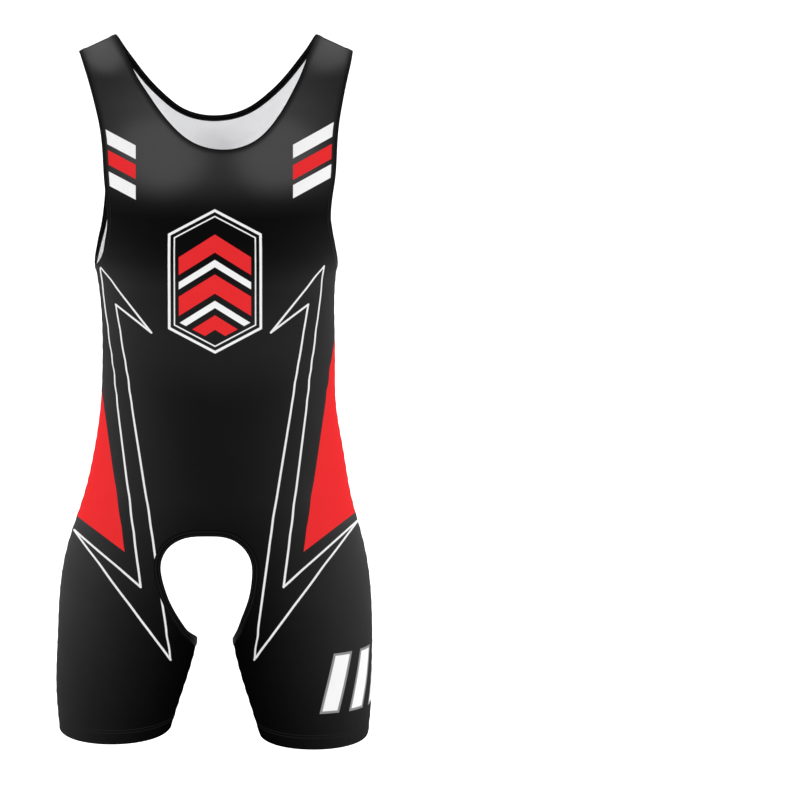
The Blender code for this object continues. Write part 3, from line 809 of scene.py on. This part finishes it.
THREAD = (0.02, 0.02, 0.021, 1)
INSIDE, INSIDE_THREAD = (0.95, 0.95, 0.96, 1), (0.78, 0.78, 0.78, 1)
front_knit = printed_knit("front_printed_knit", FRONT, FRONT_LINES, CHEST_STRIPES, front_shapes)
inner_knit = Finish("unprinted_inner_face", Specular_IOR_Level=0.2, Sheen_Weight=0.1)
stitched_knit(inner_knit, INSIDE, INSIDE_THREAD, inside=True)

NECK_BINDING, ARM_BINDING, OPENING_BINDING = 8 * MM, 8 * MM, 9 * MM
neck_loop = closed_loop(neck_halves, -1, NECK_BINDING)
opening_loop = closed_loop(arch_halves, 1, OPENING_BINDING)
arm_loops = {side: armhole_loop(side, ARM_BINDING) for side in (-1, 1)}
neck_cut, opening_cut = (inset(loop, loop[2] - BINDING_OVER) for loop in (neck_loop, opening_loop))
arm_cuts = {side: inset(loop, loop[2] - BINDING_OVER) for side, loop in arm_loops.items()}

front_panel = panel("front_panel_knit", FRONT, neck_cut, opening_cut, arm_cuts,
                    [front_knit, inner_knit.material])
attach(front_panel, "root")
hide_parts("front_panel")

# ------------------------------ back panel
# The same knit from the shoulder seams to the hems, cut higher and wider between the legs. It meets the
# front in flatlock seams at the shoulders, the sides and the inseams, and has its own dyed lines.

CREASES[BACK] = [
    (-108, -402, 104, -410, 15, -2.2), (-96, -440, 100, -436, 13, -1.6), (-90, -372, 84, -374, 12, -1),
    (0, -126, 0, -230, 18, -1),
]
# Painted light and shade on the back, as on the front, with fainter painted highlights on the upper back.
PAINTED_LIGHT_ROWS[BACK] = [
    (40, 0.45, 0.2), (-6, 0.5, 0.1), (-32, 0.4, -0.25), (-60, 0.4, -0.4), (-90, 0.42, -0.3),
    (-140, 0.36, -0.06), (-168, 0.3, 0), (-208, 0.05, 0.1), (-235, 0.05, 0.14), (-255, 0.08, 0.2),
    (-290, 0.12, 0.5), (-420, 0.1, 0.5), (-560, 0.08, 0.7), (-640, 0.03, 0.8), (-700, 0.02, 0.9),
    (-880, 0, 0.6),
]
PAINTED_LIGHT_SPOTS[BACK] = [(-78, -150, 50, 44, 0.16), (78, -150, 50, 44, 0.14), (0, -330, 90, 60, 0.06)]
PAIRED_CREASES[BACK] = [
    (178, -272, 84, -206, 12, -1.8), (176, -304, 100, -258, 10, -1.2), (166, -24, 128, -120, 9, -1),
    (196, -396, 130, -410, 8, -1.2), (196, -430, 124, -428, 8, -1.2),
    (60, -566, 150, -500, 12, -1.6), (104, -584, 186, -548, 10, -1.4), (40, -556, 70, -480, 12, -1),
    (96, -668, 188, -676, 11, -1.8), (104, -700, 184, -708, 9, -1.4), (70, -752, 150, -738, 9, -1.4),
    (30, -784, 110, -776, 8, -1.1), (14, -816, 90, -812, 8, -0.8),
    (60, -868, 64, -828, 7, -0.7), (132, -874, 128, -822, 8, -0.8), (170, -868, 164, -806, 9, -0.6),
]
BACK_LINES = [
    [(-153, 412), (-90, 271), (-34, 513.5), (5, 555.5), (46, 513.5), (101, 271), (150.5, 390.5)],
    [(-153, 464), (-94.5, 324), (-50, 520.5), (0, 570.5)],
    [(150.5, 429.5), (105, 324), (61, 521.5), (11, 570.5)],
    [(-39.5, 575.5), (-112, 504), (-176, 860)],
    [(-56, 582), (-102, 538.5), (-159.5, 862)],
    [(47, 579.5), (123, 505), (187, 860)],
    [(60.5, 587.5), (113, 538.5), (170.5, 862)],
]
PAST_EDGE = 400  # farther across than the cloth reaches, so these stripes run to its edges
SHOULDER_STRIPES = [
    (-115.5, -0.57, PAST_EDGE, (60, 78.5), (85.5, 103.5), (109.5, 127)),
    (122, 0.56, -PAST_EDGE, (54, 72), (79.5, 98), (103.5, 122)),
]

back_knit = printed_knit("back_printed_knit", BACK, BACK_LINES, SHOULDER_STRIPES)
back_panel = panel("back_panel_knit", BACK, neck_cut, opening_cut, arm_cuts,
                   [back_knit, inner_knit.material])
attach(back_panel, "root")
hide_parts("back_panel")

# ------------------------------ neck binding
# A strip of black knit, folded over the cut edge all the way round the neck and sewn through with two
# rows of stitches.

FOLD = 1.3 * MM  # depth of the strip's rounded fold
STITCH_ROWS = (2.4, 6.2)  # from the finished edge, in mm
STRIP_STITCH = (0.42, 3.0)  # half width of the thread and length of a stitch
STRIP_THREAD = (0.024, 0.024, 0.025, 1)
ROUND_STEPS = 7  # of the fold
FLAT_STEPS = 10  # across each face of the strip
ROW_DENT = 0.16 * MM  # the stitches draw the strip in by this
ROW_DENT_HALF = 0.6 * MM  # over this to each side
STRIP_SWELL = 0.18 * MM  # and it swells between them
EDGE_DROP = 0.2 * MM  # its edges lie this much closer to the cloth
# Painted light on the strips: where it starts to rise, and over what.
PAINTED_LIGHT_FROM, PAINTED_LIGHT_OVER = 1.5 * MM, 6.5 * MM  # where its paleness starts to rise, and over what
# Painted light on each strip's outer face, as a share of the cloth's painted light: at its fold, and how
# much more inwards
STRIP_PAINTED_LIGHT = {"neck": (0.1, 0.8), "arm": (0, 0.7), "opening": (0, 0.25)}


def strip_section(width):
    """The strip's section: distances in from the finished edge, and lifts off the cloth's outer face."""
    middle, thick = -KNIT / 2, KNIT / 2 + BINDING_PROUD
    flat = np.linspace(FOLD, width, FLAT_STEPS + 1)
    swell = STRIP_SWELL * np.sin(math.pi * (flat - FOLD) / (width - FOLD))
    for row in STITCH_ROWS:
        swell -= ROW_DENT * np.exp(-((flat - row * MM) / ROW_DENT_HALF) ** 2)
    swell[-1] -= EDGE_DROP
    turn = np.linspace(math.pi, 0, ROUND_STEPS + 2)[1:-1]
    around_fold = [(FOLD * (1 - math.sin(t)), middle + thick * math.cos(t)) for t in turn]
    upper = list(zip(flat, middle + thick + swell))
    lower = list(zip(flat[::-1], middle - thick - swell[::-1]))
    return np.array(around_fold + upper + lower)


def strip_finish(name):
    """Black knit strip with its two rows of stitches. Its outer face carries the cloth's painted light and
    shade.
    """
    finish = Finish(name, Specular_IOR_Level=0.02)
    along, across, _ = (value / MM for value in finish.axes(finish.layer("strip")))
    knit = knit_height(across, along)
    stitches = joined(dashes(across - row, along, STRIP_STITCH) for row in STITCH_ROWS)
    place = finish.place()
    broad = finish.noise(place, 0.02, 3.0)
    colour = finish.mix(stitches * 0.8, black_cloth_with_painted_light(finish, place, knit), STRIP_THREAD)
    pull = abs((along / STRIP_STITCH[1]).part() - 0.5) * 2
    raised = finish.bump(knit * 0.2 + stitches * 0.6 + pull * 0.12, 0.4 * MM)
    finish.wear(Base_Color=colour, Roughness=0.5 + broad * 0.12 + stitches * 0.1, Normal=raised)
    return finish.material


def binding(name, node, loop, painted_light_shares):
    """A strip's mesh round a loop."""
    section_points = strip_section(loop[2])
    lines = []
    for across in section_points[:, 0]:
        quarters = []
        for face, side, places in inset(loop, across):
            where = places[:-1].T
            spots = cloth(face, side, *where)
            quarters.append((spots, normal(cloth, face, side, *where), painted_light_share(face, spots, *where)))
        lines.append([np.concatenate(parts) for parts in zip(*quarters)])
    lifts = section_points[:, 1]
    spots = np.stack([spot + square * lift for (spot, square, _), lift in zip(lines, lifts)], 1)
    # Painted light on the strip's outer face, a share of that on the cloth under it.
    outside = smooth((lifts + KNIT / 2) / BINDING_PROUD)
    at_fold, more = painted_light_shares
    outside *= at_fold + more * smooth((section_points[:, 0] - PAINTED_LIGHT_FROM) / PAINTED_LIGHT_OVER)
    painted_light = np.stack([line[2] for line in lines], 1) * outside
    rings, points = spots.shape[:2]
    index = np.arange(rings * points).reshape(rings, points)
    after, beside = np.roll(index, -1, axis=0), np.roll(index, -1, axis=1)
    faces = np.stack((index, beside, np.roll(after, -1, axis=1), after), axis=-1).reshape(-1, 4)
    way = np.linalg.norm(np.roll(lines[0][0], -1, axis=0) - lines[0][0], axis=-1)
    along = np.concatenate(([0.0], np.cumsum(way)))
    stitches = round(along[-1] / (STRIP_STITCH[1] * MM))
    along *= stitches * STRIP_STITCH[1] * MM / along[-1]
    across = np.broadcast_to(section_points[:, 0], (rings, points))
    starts, ends = (np.broadcast_to(a[:, None], (rings, points)) for a in (along[:-1], along[1:]))
    next_across = np.roll(across, -1, axis=1)
    corner_places = ((starts, across), (starts, next_across), (ends, next_across), (ends, across))
    corners = [np.stack((way_on, way_in, 0 * across), -1) for way_on, way_in in corner_places]
    corners = np.stack(corners, axis=2).reshape(-1, 4, 3)
    thing = shell_mesh(name, spots.reshape(-1, 3), faces, [strip_finish(name)], np.zeros(len(faces)),
                       "strip", "CORNER", corners)
    add_layer(thing, "painted_light", painted_light.ravel())
    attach(thing, "root")
    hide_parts(node)
    return thing


neck_binding = binding("neck_binding_strip", "neck_binding", neck_loop, STRIP_PAINTED_LIGHT["neck"])

# ------------------------------ armhole bindings
# The same strip round each armhole. The wearer's left is at +X.

arm_bindings = [binding(f"armhole_binding_strip_{word}", f"armhole_binding_{word}", arm_loops[side],
                        STRIP_PAINTED_LIGHT["arm"]) for side, word in ((-1, "right"), (1, "left"))]

# ------------------------------ opening binding
# One long strip round the opening between the legs: over the front arch, past one inseam, over the rear
# arch and past the other inseam.

opening_binding = binding("opening_binding_strip", "opening_binding", opening_loop, STRIP_PAINTED_LIGHT["opening"])

# ------------------------------ stage and view
# A plain pale floor, soft studio lights and a long lens, which looks down at the front by 13 degrees.

scene = bpy.context.scene
FLOOR_HEIGHT = -1.45  # a wearer's shoulders are about this far above the floor
bpy.ops.mesh.primitive_plane_add(size=60, location=(0, 0, FLOOR_HEIGHT))
floor = bpy.context.object
floor.name = "floor"
floor_paint = Finish("pale_floor", Roughness=0.9, Specular_IOR_Level=0.1)
speck = floor_paint.noise(floor_paint.place(), 0.002)
floor_paint.wear(Base_Color=floor_paint.mix(speck, (0.88, 0.88, 0.88, 1), (0.9, 0.9, 0.9, 1)))
floor.data.materials.append(floor_paint.material)

world = bpy.data.worlds.new("studio")
world.use_nodes = True
sky = world.node_tree.nodes["Background"].inputs
sky["Color"].default_value, sky["Strength"].default_value = (1, 1, 1, 1), 0.27
scene.world = world
scene.view_settings.view_transform = "Standard"


def studio_light(name, place, aim, size, power):
    lamp = bpy.data.lights.new(name, "AREA")
    lamp.shape, lamp.size, lamp.size_y, lamp.energy = "RECTANGLE", size[0], size[1], power
    light = bpy.data.objects.new(name, lamp)
    scene.collection.objects.link(light)
    way = np.array(aim) - np.array(place)
    light.location = place
    light.rotation_euler = (math.atan2(math.hypot(way[0], way[1]), -way[2]), 0,
                            math.atan2(way[1], way[0]) - math.pi / 2)


studio_light("left_key_light", (-2.1, -4.2, 1.5), (0, 0, -0.2), (1.3, 1.3), 70)
studio_light("right_key_light", (2.3, -4.2, 1.4), (0, 0, -0.2), (1.3, 1.3), 67)
studio_light("top_light", (0.2, 4.0, 5.5), (0.2, 4.4, -1.45), (10.0, 10.0), 1100)
studio_light("left_edge_light", (-3.6, 0.9, 0.2), (0, 0, -0.4), (0.8, 2.6), 42)
studio_light("right_edge_light", (3.6, 0.9, 0.2), (0, 0, -0.4), (0.8, 2.6), 42)

VIEW_MIDDLE = np.array((0.2293, 0.0, -0.4541))
VIEW_DISTANCE, VIEW_WIDTH = 30.0, 1.0
camera_data = bpy.data.cameras.new("camera")
camera_data.sensor_width = 36
camera_data.lens = camera_data.sensor_width * VIEW_DISTANCE / VIEW_WIDTH
camera = bpy.data.objects.new("camera", camera_data)
scene.collection.objects.link(camera)
camera.location = VIEW_MIDDLE + VIEW_DISTANCE * np.array((0, -math.cos(LOOK_DOWN), math.sin(LOOK_DOWN)))
camera.rotation_euler = (math.pi / 2 - LOOK_DOWN, 0, 0)
scene.camera = camera
